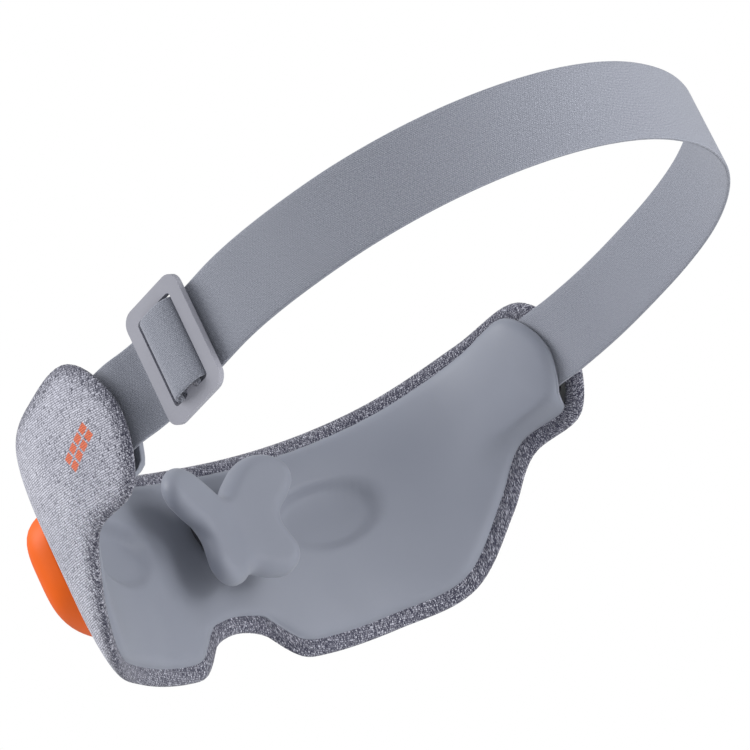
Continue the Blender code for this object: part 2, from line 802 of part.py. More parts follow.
# --- The strap and its buckle --------------------------------------------------------------------


def strap_path():
    """Points along the middle of the strap: inside the left wing, round the head, to the right wing."""
    points = []
    for s, n in STRAP_TUCK:
        p = wrap(s, 0.0, n)
        points.append((p.x, p.y, STRAP_ROUTE[0][2] - 0.09 * (145.0 - s)))
    points += STRAP_ROUTE
    for s, n in reversed(STRAP_TUCK):
        p = wrap(-s, 0.0, n)
        points.append((p.x, p.y, STRAP_ROUTE[-1][2] - 0.09 * (145.0 - s)))
    return smooth_curve(points, 3, closed=False)


def make_strap(finish):
    path = strap_path()
    made = bmesh.new()
    rows = []
    for k, point in enumerate(path):
        before = path[max(k - 1, 0)]
        after = path[min(k + 1, len(path) - 1)]
        along = Vector(after - before).normalized()
        outward = along.cross(Vector((0, 0, 1))).normalized() * STRAP_THICK / 2
        up = Vector((0, 0, STRAP_WIDTH / 2))
        middle = Vector(point)
        corners = (middle - outward - up, middle + outward - up, middle + outward + up, middle - outward + up)
        rows.append([made.verts.new(c) for c in corners])
    made.faces.new(rows[0])
    made.faces.new(rows[-1])
    skin(made, rows)
    add("strap_band", made, finish["webbing"], smooth=30)

    for side, name in ((1, "strap_anchor_left"), (-1, "strap_anchor_right")):
        z = (STRAP_ROUTE[0][2] if side > 0 else STRAP_ROUTE[-1][2]) - 2.0
        start, depth = STRAP_TUCK[0]
        low = wrap(side * (start - 3.4), z - 12.5, depth + 1.5)
        high = wrap(side * (start - 0.8), z + 12.5, depth)
        lows = [min(a, b) for a, b in zip(low, high)]
        highs = [max(a, b) for a, b in zip(low, high)]
        add(name, block(lows, highs), finish["dark_plastic"], smooth=0)


def buckle_frame():
    """The buckle's place: its middle on the strap, along, outward and across the strap."""
    start, end = Vector(STRAP_ROUTE[2]), Vector(STRAP_ROUTE[5])
    along = (end - start).normalized()
    outward = along.cross(Vector((0, 0, 1))).normalized()
    across = Vector((0, 0, 1))
    return start.lerp(end, BUCKLE_AT), along, outward, across


def make_buckle(finish):
    middle, along, outward, across = buckle_frame()

    def place(u, v, level):
        return middle + along * u + outward * level + across * v

    def rounded(half_u, half_v, radius, count=6):
        points = []
        for cu, cv, start in ((1, 1, 0), (-1, 1, 90), (-1, -1, 180), (1, -1, 270)):
            for k in range(count + 1):
                angle = math.radians(start + 90 * k / count)
                u = cu * (half_u - radius) + radius * math.cos(angle)
                points.append((u, cv * (half_v - radius) + radius * math.sin(angle)))
        return points

    low, high = BUCKLE_LIFT, BUCKLE_LIFT + BUCKLE_THICK
    half_u, half_v = BUCKLE_LENGTH / 2, BUCKLE_HEIGHT / 2
    plate = prism(rounded(half_u, half_v, BUCKLE_CORNER), low, high, place)
    buckle = add("strap_buckle", plate, finish["buckle"], pivot=middle, smooth=30)
    slot_v = STRAP_WIDTH / 2 + 0.7
    slot_low, slot_high = BUCKLE_CENTRE_BAR / 2, half_u - BUCKLE_BAR
    for side, name in ((1, "slot_guide_back"), (-1, "slot_guide_front")):
        shift = side * (slot_low + slot_high) / 2
        slot = [(u + shift, v) for u, v in rounded((slot_high - slot_low) / 2, slot_v, 1.2, 3)]
        cut(buckle, add(name, prism(slot, low - 2, high + 2, place), guide_finish(), smooth=0))

    bar_gap = BUCKLE_CENTRE_BAR / 2 + GAP + 0.1
    loop_high = high + GAP + 1.0
    loop_low = STRAP_THICK / 2 + GAP
    ring = bmesh.new()
    rows = []
    for half, a, b, bend in ((bar_gap + 1.0, loop_low, loop_high, 0.8), (bar_gap, low - GAP, high + GAP, 0.35)):
        outline = []
        for u, v in rounded(half, (b - a) / 2, min(half, (b - a) / 2) * bend, 3):
            outline.append((u, v + (a + b) / 2))
        for v in (-11.5, 11.5):
            rows.append([ring.verts.new(place(u, v, m)) for u, m in outline])
    outer_low, outer_high, inner_low, inner_high = rows
    skin(ring, [outer_low, outer_high, inner_high, inner_low, outer_low])
    add("strap_end_loop", ring, finish["webbing"], pivot=middle, smooth=30)

    thick = 1.1
    arch_half = slot_high - GAP - thick / 2
    foot = STRAP_THICK / 2 + GAP
    crest = loop_high + GAP + thick / 2
    count = 32

    def arch(k):
        """The fold's middle line: an arch from the strap up through one slot and down the other."""
        angle = math.pi * k / count
        c, s = -math.cos(angle), max(math.sin(angle), 0.0)
        return np.array((arch_half * math.copysign(abs(c) ** 0.6, c), foot + (crest - foot) * s**0.85))

    fold = bmesh.new()
    rows = []
    for k in range(count + 1):
        run = arch(min(k + 1, count)) - arch(max(k - 1, 0))
        if k in (0, count):
            run = np.array((0.0, 1.0 if k == 0 else -1.0))
        tilt = np.array((-run[1], run[0])) / np.linalg.norm(run) * thick / 2
        corners = []
        for sign, v in ((-1, -12.2), (1, -12.2), (1, 12.2), (-1, 12.2)):
            u, m = arch(k) + sign * tilt
            corners.append(fold.verts.new(place(u, v, m)))
        rows.append(corners)
    fold.faces.new(rows[0])
    fold.faces.new(rows[-1])
    skin(fold, rows)
    add("strap_fold", fold, finish["webbing"], pivot=middle, smooth=30)
    return middle, along


def main():
    clear_scene()
    finish = {
        "fabric": material("heather_fabric", (0.36, 0.36, 0.40), 0.9),
        "silicone": material("grey_silicone", (0.24, 0.25, 0.30), 0.55),
        "foam": material("foam", (0.12, 0.12, 0.13), 0.95),
        "frame": material("frame_sheet", (0.75, 0.75, 0.72), 0.5),
        "film": material("heater_film", (0.55, 0.33, 0.10), 0.4),
        "dark_plastic": material("dark_plastic", (0.05, 0.05, 0.055), 0.5),
        "black": material("black_plastic", (0.02, 0.02, 0.02), 0.5),
        "nylon": material("white_nylon", (0.80, 0.79, 0.74), 0.4),
        "brass": material("brass", (0.70, 0.50, 0.22), 0.3, 1.0),
        "steel": material("steel", (0.60, 0.60, 0.62), 0.3, 1.0),
        "orange": material("orange_plastic", (0.80, 0.14, 0.03), 0.4),
        "clear": material("clear_plastic", (0.90, 0.90, 0.90), 0.2),
        "board": material("board_green", (0.02, 0.16, 0.06), 0.5),
        "battery": material("battery_wrap", (0.35, 0.36, 0.38), 0.5),
        "webbing": material("grey_webbing", (0.26, 0.27, 0.32), 0.85),
        "buckle": material("grey_plastic", (0.33, 0.33, 0.37), 0.4),
    }
    make_mask(finish)
    make_heaters(finish)
    make_head(finish)
    make_drive(finish)
    make_pod(finish)
    make_electronics(finish)
    make_screws(finish)
    make_strap(finish)
    make_buckle(finish)


main()
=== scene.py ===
"""The looks of the eye massager mask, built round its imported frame.

Shapes are worked out in millimetres and become metres in their meshes. As in the design, most of
the mask is laid out flat first: s runs along the brow line from the nose, positive on the
wearer's left, z is up, and n is the depth away from the face. wrap() bends that round the head.
"""

import math

import bmesh
import bpy
import numpy as np
from mathutils import Matrix, Vector


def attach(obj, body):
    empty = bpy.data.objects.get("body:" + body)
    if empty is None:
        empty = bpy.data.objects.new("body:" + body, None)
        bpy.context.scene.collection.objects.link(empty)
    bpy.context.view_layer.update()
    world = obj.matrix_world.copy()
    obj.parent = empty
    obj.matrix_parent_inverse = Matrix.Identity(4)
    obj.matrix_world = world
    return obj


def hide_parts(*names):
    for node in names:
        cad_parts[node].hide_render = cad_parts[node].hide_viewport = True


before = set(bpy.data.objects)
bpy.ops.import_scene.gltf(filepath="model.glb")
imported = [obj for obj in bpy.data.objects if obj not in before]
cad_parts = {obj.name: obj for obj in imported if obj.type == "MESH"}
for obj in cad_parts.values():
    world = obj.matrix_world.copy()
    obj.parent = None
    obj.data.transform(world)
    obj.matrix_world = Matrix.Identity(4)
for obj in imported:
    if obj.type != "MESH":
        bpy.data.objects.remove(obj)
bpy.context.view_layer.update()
MM = 0.001

# --- The design's layout, repeated except where a line says that it is drawn otherwise -----------

HALF_LENGTH = 150.0
TURNING = (0.54, 1.32, 1.09, 0.0, -1.48)  # the brow line's heading, by powers of the share along it
EDGE_LINE = (
    (0.0, 25.0),
    (37.5, 25.3),
    (75.0, 27.0),
    (112.0, 30.5),
    (138.5, 30.6),
    (150.0, 11.3),
    (141.5, -10.0),
    (119.0, -13.0),
    (105.0, -25.4),
    (84.0, -41.6),
    (57.0, -43.5),
    (31.0, -43.9),
    (21.5, -42.8),
    (15.5, -38.4),
    (10.5, -33.4),
    (0.0, -30.9),
)
SPINE_HALF = 128.0
SPINE_LOW, SPINE_HIGH = -8.0, 10.0  # of the middle line, at the nose and in the wings
SPINE_FROM, SPINE_OVER = 50.0, 70.0

RIM_DEPTH = 0.9  # of the edge line itself
CROWN, SHOULDER = 3.3, 22.0
LIP_DROP, LIP_ROLL = 2.1, 4.0
LIP_WIDTH = 5.6  # drawn 1 mm wider than the design's
CLOTH = 1.1
COVER_HOLE, LINER_HOLE = 5.5, 6.5  # radii, round the head's shaft
LINER_INSET = 4.6  # drawn 0.4 mm nearer the edge than the design's
LINER_FRONT, LINER_THICK, LINER_EDGE = -0.5, 1.6, 3.0
LINER_PAD, LINER_PAD_REACH = 3.4, 16.0
LINER_EDGE_SHARE, LINER_LEAST, MIDDLE_FADE = 0.25, 0.9, 10.0
WING_LIFT, WING_LIFT_FROM, WING_LIFT_OVER = 5.3, 98.0, 40.0
WING_LIFT_LOW, WING_LIFT_RISE = -8.0, 5.0
EYE_S, EYE_Z = 48.0, -3.2
EYE_HALF_S, EYE_HALF_Z, EYE_DEPTH, EYE_STEEP = 22.5, 12.0, 4.0, 3.2  # drawn crisper and 0.6 mm deeper
EYE_FLOOR, EYE_SLOPE = 0.35, 1.6
TROUGH_HALF, TROUGH_LEAN, TROUGH_OVER, TROUGH_DEPTH = 36.0, 0.44, 14.0, 1.0
COLLAR_RADIUS, COLLAR_RISE = 15.0, 2.4
NOSE_HALF, NOSE_DEPTH, NOSE_TOP, NOSE_BOTTOM = 12.0, 1.6, -6.0, -26.0

HEAD_CLEAR, HEAD_THICK = 11.2, 7.8
HEAD_EDGE = 0.45  # of the thickness, where its face and back meet
HEAD_FACE_ROUND, HEAD_BACK_ROUND = 4.5, 3.0
HEAD_CENTRE = (0.0, -2.0)
HEAD_FOLD, HEAD_FOLD_ROUND = 0.31, 3.5
HEAD_LINE = (
    (0.0, 7.4),
    (4.5, 11.2),
    (10.5, 15.8),
    (16.5, 17.2),
    (22.0, 15.4),
    (25.6, 11.0),
    (25.4, 6.0),
    (21.8, 1.5),
    (17.4, -2.4),
    (16.2, -6.2),
    (17.0, -10.4),
    (17.8, -15.0),
    (16.0, -19.3),
    (11.5, -21.8),
    (6.0, -20.9),
    (0.0, -18.4),
)

POD_HALF_S, POD_HALF_Z, POD_Z = 60.0, 23.5, 0.2
POD_PEAK, POD_WALL, POD_STAND = 23.6, 2.0, 1.0
POD_SQUARE, POD_DOME = 3.5, 3.3  # exponents of its outline and its profile
RING_OUTER = 8.5

MARK_AT, MARK_SIZE, MARK_TURN = (131.6, 8.5), (15.0, 5.2), math.radians(20)
MARK_COLUMNS, MARK_GAP = 4, 0.25

STRAP_WIDTH, STRAP_THICK = 25.0, 1.2
STRAP_TUCK = ((122.0, -2.0), (128.0, -2.6), (134.0, -3.2), (140.0, -4.0))  # s and n inside a wing
TUCK_SLOPE, TUCK_END = 0.09, 145.0
STRAP_ROUTE = (  # from the wearer's left wing round the head: x, y, z of its middle
    (91.7, 84.0, 13.0),
    (89.1, 89.0, 13.7),
    (87.3, 93.0, 14.4),
    (86.2, 105.0, 16.0),
    (85.5, 117.0, 17.6),
    (84.8, 129.0, 19.2),
    (83.2, 139.5, 20.2),
    (79.7, 155.5, 21.0),
    (72.0, 174.0, 22.0),
    (59.0, 191.7, 22.8),
    (41.8, 205.2, 23.3),
    (21.4, 213.3, 23.6),
    (-0.6, 215.3, 23.7),
    (-22.3, 211.9, 23.4),
    (-42.7, 204.2, 22.8),
    (-60.8, 192.8, 21.9),
    (-75.6, 177.9, 20.8),
    (-86.6, 160.6, 19.4),
    (-93.2, 141.8, 17.8),
    (-95.8, 123.0, 15.9),
    (-96.0, 105.0, 13.9),
    (-93.6, 89.5, 12.2),
)
BUCKLE_AT, BUCKLE_LENGTH, BUCKLE_BAR = 0.40, 23.4, 4.3
BUCKLE_LIFT, BUCKLE_THICK, GAP = 2.3, 2.0, 0.3
FOLD_WIDTH, FOLD_THICK, FOLD_RISE = 24.4, 1.1, 1.0

# --- How finely the shapes are drawn -------------------------------------------------------------

STATIONS, FAN = 56, 26  # of the mask's rays, on each side, and round each tip
SHORT_RAY = 14  # rays shorter than this scale their insets down
COVER_RING = 16.0  # the cover's rays count by shares inside this inset, and by insets outside it
LINER_RING = 8.0  # the same for the liner's back, in from its edge
LINER_FRONT_RING = 14.0
HEAD_RING, HEAD_BACK_RING = 5.0, 3.4
WEBBING_FINE = 14  # points of the strap between two of its route's
RIM_SHADE_REACH = 5.0  # how far in from an edge the painted shade on the cloth's rim reaches
TWILL_ROW, TWILL_TURN = 0.66, math.radians(8)
WARP, WEFT = 0.5, 0.6  # spacing of the strap's yarns


# --- Curves and the wrap -------------------------------------------------------------------------


def smooth_curve(points, per_span, closed):
    """A centripetal Catmull-Rom curve through the points."""
    points = [np.array(p, float) for p in points]
    if closed:
        path = [points[-1]] + points + points[:2]
    else:
        path = [2 * points[0] - points[1]] + points + [2 * points[-1] - points[-2]]
    out = []
    for p0, p1, p2, p3 in zip(path, path[1:], path[2:], path[3:]):
        t1 = np.linalg.norm(p1 - p0) ** 0.5
        t2 = t1 + np.linalg.norm(p2 - p1) ** 0.5
        t3 = t2 + np.linalg.norm(p3 - p2) ** 0.5
        for t in np.linspace(t1, t2, per_span, endpoint=False):
            a1 = p0 * (t1 - t) / t1 + p1 * t / t1
            a2 = p1 * (t2 - t) / (t2 - t1) + p2 * (t - t1) / (t2 - t1)
            a3 = p2 * (t3 - t) / (t3 - t2) + p3 * (t - t2) / (t3 - t2)
            b1 = a1 * (t2 - t) / t2 + a2 * t / t2
            b2 = a2 * (t3 - t) / (t3 - t1) + a3 * (t - t1) / (t3 - t1)
            out.append(b1 * (t2 - t) / (t2 - t1) + b2 * (t - t1) / (t2 - t1))
    if not closed:
        out.append(points[-1])
    return np.array(out)


def mirrored_loop(half):
    return [*half, *[(-x, z) for x, z in reversed(half[1:-1])]]


def brow_table(steps=1200):
    """The brow line from the nose to beyond a tip: s, x, y and heading."""
    share = np.linspace(0.0, 1.1, steps)
    heading = sum(k * share ** (power + 1) for power, k in enumerate(TURNING))
    middle = (heading[1:] + heading[:-1]) / 2
    step = (share[1] - share[0]) * HALF_LENGTH
    x = np.concatenate([[0.0], np.cumsum(np.cos(middle)) * step])
    y = np.concatenate([[0.0], np.cumsum(np.sin(middle)) * step])
    return share * HALF_LENGTH, x, y, heading


BROW = brow_table()


def wrap(s, z, n):
    """Points of the flat layout, bent round the head, in millimetres."""
    s, z, n = (np.asarray(a, float) for a in (s, z, n))
    along, xs, ys, headings = BROW
    heading = np.interp(abs(s), along, headings)
    x = np.interp(abs(s), along, xs) + n * np.sin(heading)
    y = np.interp(abs(s), along, ys) - n * np.cos(heading)
    return np.stack([np.sign(s) * x, y, z + 0 * x], axis=-1)


def ease(value):
    value = np.clip(value, 0.0, 1.0)
    return value * value * (3 - 2 * value)


def bulge(inset, reach):
    """0 at the edge, 1 from reach inwards, rising as a quarter circle."""
    return np.sqrt(1 - (1 - np.clip(inset / reach, 0.0, 1.0)) ** 2)


EDGE = smooth_curve(mirrored_loop(EDGE_LINE), 24, closed=True)


def inset_of(s, z, loop=EDGE):
    """How far points of the flat layout lie inside the loop."""
    run = np.roll(loop, -1, axis=0) - loop
    length = (run**2).sum(1)
    flat = np.stack([np.ravel(s), np.ravel(z)], axis=-1).astype(float)
    found = np.empty(len(flat))
    for start in range(0, len(flat), 4000):
        offset = flat[start : start + 4000, None] - loop[None]
        share = np.clip((offset * run).sum(2) / length, 0, 1)
        found[start : start + 4000] = np.sqrt(((offset - share[..., None] * run) ** 2).sum(2)).min(1)
    return found.reshape(np.shape(s))


# --- Depths of the visible layers ----------------------------------------------------------------


def cover_front(s, z):
    return RIM_DEPTH + CROWN * bulge(inset_of(s, z), SHOULDER)


def cover_back(s, z):
    return RIM_DEPTH - LIP_DROP * bulge(inset_of(s, z), LIP_ROLL)


def cover_inner_front(s, z):
    return RIM_DEPTH + (CROWN - CLOTH) * bulge(inset_of(s, z) - CLOTH, SHOULDER - CLOTH)


def cover_inner_back(s, z):
    return RIM_DEPTH - (LIP_DROP - CLOTH) * bulge(inset_of(s, z) - CLOTH, LIP_ROLL - CLOTH)


def eye_hollow(s, z):
    """An oval hollow in front of each eye, deepest under its upper edge."""
    away = np.hypot((abs(s) - EYE_S) / EYE_HALF_S, (z - EYE_Z) / EYE_HALF_Z)
    slope = ease((z - EYE_Z + EYE_HALF_Z) / (EYE_SLOPE * EYE_HALF_Z))
    floor = EYE_DEPTH * (EYE_FLOOR + (1 - EYE_FLOOR) * slope)
    return floor * ease(EYE_STEEP * (1 - away))


def nose_hollow(s, z):
    """A channel down to the notch, where the nose comes in."""
    down = ease((NOSE_TOP - z) / (NOSE_TOP - NOSE_BOTTOM))
    return NOSE_DEPTH * np.exp(-((s / NOSE_HALF) ** 2)) * down


def trough(s, z):
    """The shallow trough between the eyes, wider towards the cheeks, with a collar for the head."""
    collar = COLLAR_RISE * ease(1.5 * (1 - np.hypot(s, z) / COLLAR_RADIUS))
    return TROUGH_DEPTH * ease((TROUGH_HALF - TROUGH_LEAN * z - abs(s)) / TROUGH_OVER) - collar


def liner_front(s, z):
    lift = ease((abs(s) - WING_LIFT_FROM) / WING_LIFT_OVER) * ease((z - WING_LIFT_LOW) / WING_LIFT_RISE)
    return LINER_FRONT - WING_LIFT * lift


def liner_back(s, z):
    inset = inset_of(s, z)
    share = LINER_EDGE_SHARE + (1 - LINER_EDGE_SHARE) * bulge(inset - LINER_INSET, LINER_EDGE)
    thick = LINER_THICK * share
    pad = LINER_PAD * bulge(inset - LINER_INSET, LINER_PAD_REACH)
    middle = (trough(s, z) + nose_hollow(s, z)) * bulge(inset - LINER_INSET, MIDDLE_FADE)
    hollow = np.where(abs(s) > COLLAR_RADIUS, np.maximum(eye_hollow(s, z), middle), middle)
    return liner_front(s, z) - np.maximum(thick + pad - hollow, LINER_LEAST)


# --- Sheets: rays from seats inside a loop out to it ---------------------------------------------


class Sheet:
    def __init__(self, loop, seats, rays):
        self.seats = np.array(seats, float)
        self.seat_of = np.array([index for index, _ in rays])
        self.rays = np.array([(math.cos(angle), math.sin(angle)) for _, angle in rays])
        self.reach = np.empty(len(rays))
        self.slant = np.empty(len(rays))
        for k, (index, ray) in enumerate(zip(self.seat_of, self.rays)):
            self.reach[k], run = self.meet(loop, self.seats[index], ray)
            self.slant[k] = max(abs(ray[0] * run[1] - ray[1] * run[0]), 0.5)
        self.slant = smoothed(self.slant)

    @staticmethod
    def meet(loop, seat, ray):
        """The distance to the loop along a ray, and the loop's direction there."""
        run = np.roll(loop, -1, axis=0) - loop
        offset = loop - seat
        cross = ray[0] * run[:, 1] - ray[1] * run[:, 0]
        cross[abs(cross) < 1e-12] = 1e-12
        distance = (offset[:, 0] * run[:, 1] - offset[:, 1] * run[:, 0]) / cross
        share = (offset[:, 0] * ray[1] - offset[:, 1] * ray[0]) / cross
        hit = (share >= -1e-9) & (share <= 1 + 1e-9) & (distance > 0)
        index = np.flatnonzero(hit)[distance[hit].argmin()]
        return distance[index], run[index] / np.linalg.norm(run[index])

    def ring(self, inset, share):
        """One point per ray: share of the way out to the line that lies inset inside the loop."""
        out = self.reach - np.minimum(inset / self.slant, inset * self.reach / SHORT_RAY)
        return self.seats[self.seat_of] + self.rays * (out * share)[:, None]


def smoothed(values):
    for _ in range(4):
        values = (np.roll(values, 1) + 2 * values + np.roll(values, -1)) / 4
    return values


def mask_sheet():
    """The whole mask: rays up and down from its middle line, and fans round the tips."""
    stations = [SPINE_HALF * i / STATIONS for i in range(-STATIONS, STATIONS + 1)]
    rises = [ease((abs(s) - SPINE_FROM) / SPINE_OVER) for s in stations]
    seats = [(s, SPINE_LOW + (SPINE_HIGH - SPINE_LOW) * rise) for s, rise in zip(stations, rises)]
    last = len(seats) - 1
    turn = math.pi / (FAN + 1)
    up, down = math.pi / 2, -math.pi / 2
    rays = [(i, up) for i in range(last + 1)]
    rays += [(last, up - turn * k) for k in range(1, FAN + 1)]
    rays += [(i, down) for i in range(last, -1, -1)]
    rays += [(0, down - turn * k) for k in range(1, FAN + 1)]
    return Sheet(EDGE, seats, rays)


def round_sheet(loop, centre, count):
    return Sheet(loop, [centre], [(0, math.pi / 2 - 2 * math.pi * k / count) for k in range(count)])


def superellipse(centre, half_s, half_z, exponent):
    angle = np.linspace(0, 2 * math.pi, 360, endpoint=False)
    c, s = np.cos(angle), np.sin(angle)
    x = half_s * np.sign(c) * abs(c) ** (2 / exponent)
    z = half_z * np.sign(s) * abs(s) ** (2 / exponent)
    return np.stack([centre[0] + x, centre[1] + z], axis=-1)


# --- Meshes --------------------------------------------------------------------------------------


def mesh_object(name, points, faces, finish, flat):
    """A smooth object from points in millimetres. flat is each point's place on the unbent cloth."""
    made = bmesh.new()
    layer = made.verts.layers.float_vector.new("flat")
    verts = [made.verts.new(Vector(p) * MM) for p in points]
    for vert, place in zip(verts, flat):
        vert[layer] = Vector(place)
    for corners in faces:
        corners = list(dict.fromkeys(corners))
        if len(corners) > 2:
            made.faces.new([verts[k] for k in corners])
    bmesh.ops.recalc_face_normals(made, faces=made.faces)
    if made.calc_volume(signed=True) < 0:
        bmesh.ops.reverse_faces(made, faces=made.faces)
    mesh = bpy.data.meshes.new(name)
    made.to_mesh(mesh)
    made.free()
    mesh.shade_smooth()
    mesh.materials.append(finish)
    obj = bpy.data.objects.new(name, mesh)
    bpy.context.scene.collection.objects.link(obj)
    return obj


def loft_faces(index):
    """Quads between the rows of an index table, each row a closed ring."""
    faces = []
    for near, far in zip(index, index[1:]):
        for k in range(len(near)):
            after = (k + 1) % len(near)
            faces.append((near[k], near[after], far[after], far[k]))
    return faces


def loft(name, sheet, rings, place, finish):
    """An object through rings over a sheet. A ring is (inset, share, depth), and share 0 is a seat.

    Each point's flat place has its rim-ness as z: 1 at the edge and behind it, 0 well inside. The twill
    paints shade by it.
    """
    points, flats, index, base = [], [], [], 0
    before, travel, behind = None, np.zeros(len(sheet.rays)), False
    for inset, share, depth in rings:
        behind = behind or (inset == 0 and share == 1)
        rim_shade = 1.0 if behind else share * max(1 - inset / RIM_SHADE_REACH, 0.0)
        flat = sheet.seats[sheet.seat_of] if share == 0 else sheet.ring(inset, share)
        bent = place(flat[:, 0], flat[:, 1], depth(flat[:, 0], flat[:, 1]))
        if before is not None:
            travel = travel + np.linalg.norm(bent - before, axis=1)
        before = bent
        unrolled = sheet.seats[sheet.seat_of] + sheet.rays * travel[:, None]
        unrolled = np.column_stack([unrolled, np.full(len(unrolled), rim_shade)])
        if share == 0:
            first = np.unique(sheet.seat_of, return_index=True)[1]
            index.append(base + sheet.seat_of)
            points.append(bent[first])
            flats.append(unrolled[first])
            base += len(first)
        else:
            index.append(base + np.arange(len(bent)))
            points.append(bent)
            flats.append(unrolled)
            base += len(bent)
    faces = loft_faces(np.array(index))
    return mesh_object(name, np.concatenate(points), faces, finish, np.concatenate(flats))


def cut_round(obj, radius, low, high, centre=(0.0, 0.0)):
    """Cuts a round hole along Y, and keeps the result."""
    made = bmesh.new()
    bmesh.ops.create_cone(
        made,
        cap_ends=True,
        segments=64,
        radius1=radius * MM,
        radius2=radius * MM,
        depth=(high - low) * MM,
    )
    turn = Matrix.Rotation(math.pi / 2, 4, "X")
    shift = Matrix.Translation(Vector((centre[0], (low + high) / 2, centre[1])) * MM)
    bmesh.ops.transform(made, matrix=shift @ turn, verts=made.verts)
    mesh = bpy.data.meshes.new("hole")
    made.to_mesh(mesh)
    made.free()
    cutter = bpy.data.objects.new("hole", mesh)
    bpy.context.scene.collection.objects.link(cutter)
    modifier = obj.modifiers.new("hole", "BOOLEAN")
    modifier.operation = "DIFFERENCE"
    modifier.solver = "EXACT"
    modifier.object = cutter
    graph = bpy.context.evaluated_depsgraph_get()
    obj.data = bpy.data.meshes.new_from_object(obj.evaluated_get(graph))
    obj.modifiers.clear()
    bpy.data.objects.remove(cutter)


# --- Materials -----------------------------------------------------------------------------------


class Finish:
    """A material and short ways to add nodes to it."""

    def __init__(self, name, colour, roughness, **sockets):
        self.material = bpy.data.materials.new(name)
        self.material.use_nodes = True
        self.tree = self.material.node_tree
        self.shader = self.tree.nodes["Principled BSDF"]
        self.shader.inputs["Base Color"].default_value = (*colour, 1.0)
        self.shader.inputs["Roughness"].default_value = roughness
        for socket, value in sockets.items():
            self.shader.inputs[socket.replace("_", " ")].default_value = value

    def node(self, kind, values=(), **settings):
        made = self.tree.nodes.new(kind)
        for key, value in settings.items():
            setattr(made, key, value)
        for key, value in dict(values).items():
            if isinstance(value, bpy.types.NodeSocket):
                self.tree.links.new(value, made.inputs[key])
            else:
                made.inputs[key].default_value = value
        return made

    def maths(self, operation, a, b=0.0, c=0.0):
        return self.node("ShaderNodeMath", {0: a, 1: b, 2: c}, operation=operation).outputs[0]

    def split(self, vector):
        return self.node("ShaderNodeSeparateXYZ", {0: vector})

    def flat(self):
        return self.node("ShaderNodeAttribute", attribute_name="flat").outputs["Vector"]

    def place(self):
        return self.node("ShaderNodeTexCoord").outputs["Object"]

    def stretched(self, vector, scale, turn=0.0):
        values = {"Vector": vector, "Rotation": (0.0, 0.0, turn), "Scale": scale}
        return self.node("ShaderNodeMapping", values).outputs[0]

    def noise(self, vector, scale, detail=2.0, roughness=0.5):
        values = {"Vector": vector, "Scale": scale, "Detail": detail, "Roughness": roughness}
        return self.node("ShaderNodeTexNoise", values).outputs["Fac"]

    def ramp(self, value, low, high, low_to=0.0, high_to=1.0):
        values = {"Value": value, "From Min": low, "From Max": high, "To Min": low_to, "To Max": high_to}
        return self.node("ShaderNodeMapRange", values, clamp=True).outputs[0]

    def blend(self, factor, a, b):
        made = self.node("ShaderNodeMix", data_type="RGBA")
        for key, value in (("Factor_Float", factor), ("A_Color", a), ("B_Color", b)):
            socket = next(s for s in made.inputs if s.identifier == key)
            if isinstance(value, bpy.types.NodeSocket):
                self.tree.links.new(value, socket)
            else:
                socket.default_value = (*value, 1.0) if isinstance(value, tuple) else value
        return next(s for s in made.outputs if s.identifier == "Result_Color")

    def wear(self, colour=None, roughness=None, height=None, distance=0.1, strength=1.0):
        """Joins up what the nodes made."""
        if colour is not None:
            self.tree.links.new(colour, self.shader.inputs["Base Color"])
        if roughness is not None:
            self.tree.links.new(roughness, self.shader.inputs["Roughness"])
        if height is not None:
            values = {"Height": height, "Distance": distance * MM, "Strength": strength}
            bump = self.node("ShaderNodeBump", values)
            self.tree.links.new(bump.outputs[0], self.shader.inputs["Normal"])
        return self.material


def twill_finish():
    """Heather twill: pale and dark yarns in diagonal ribs, on the cloth's own unbent layout, with
    painted shade darkening its rim.
    """
    f = Finish("heather_twill", (0.5, 0.5, 0.55), 0.95, Sheen_Weight=0.25, Sheen_Roughness=0.5)
    flat = f.flat()
    turned = f.split(f.stretched(flat, (1.0, 1.0, 1.0), TWILL_TURN))
    waver = f.noise(flat, 0.5, 2.0)
    over = f.maths("MULTIPLY_ADD", waver, 1.2, f.maths("DIVIDE", turned.outputs["Y"], TWILL_ROW))
    row = f.maths("FLOOR", over)
    rib = f.maths("SINE", f.maths("MULTIPLY", f.maths("FRACT", over), math.pi))
    jump = f.node("ShaderNodeTexWhiteNoise", {"W": row}, noise_dimensions="1D").outputs["Value"]
    along = f.maths("MULTIPLY_ADD", jump, 40.0, turned.outputs["X"])
    thread = f.node("ShaderNodeCombineXYZ", {0: along, 1: f.maths("MULTIPLY", row, 9.3)}).outputs[0]
    yarn = f.noise(thread, 2.4, 1.0)
    fuzz = f.noise(flat, 5.5, 2.0, 0.6)
    mixed = f.maths("MULTIPLY_ADD", fuzz, 0.45, f.maths("MULTIPLY", yarn, 0.55))
    # painted shade: fewer pale yarns towards the edge and over the whole back of the cloth, by its
    # rim-ness
    rim_shade = f.split(flat).outputs["Z"]
    mixed = f.maths("MULTIPLY_ADD", rim_shade, -0.105, mixed)
    pale = f.maths("MULTIPLY", f.ramp(mixed, 0.375, 0.525), f.ramp(rib, 0.05, 0.6, 0.2, 1.0))
    tone = f.noise(flat, 0.05, 3.0)
    yarn_colour = f.blend(f.ramp(tone, 0.35, 0.65), (0.60, 0.60, 0.69), (0.72, 0.72, 0.81))
    colour = f.blend(pale, (0.04, 0.04, 0.07), yarn_colour)
    mark = f.maths("MULTIPLY", wing_mark(f, flat), f.ramp(rib, 0.0, 0.3))
    colour = f.blend(mark, colour, (0.80, 0.16, 0.06))
    height = f.maths("MULTIPLY_ADD", rib, 0.6, f.maths("MULTIPLY", mixed, 0.8))
    return f.wear(colour, None, height, 0.25, 0.9)


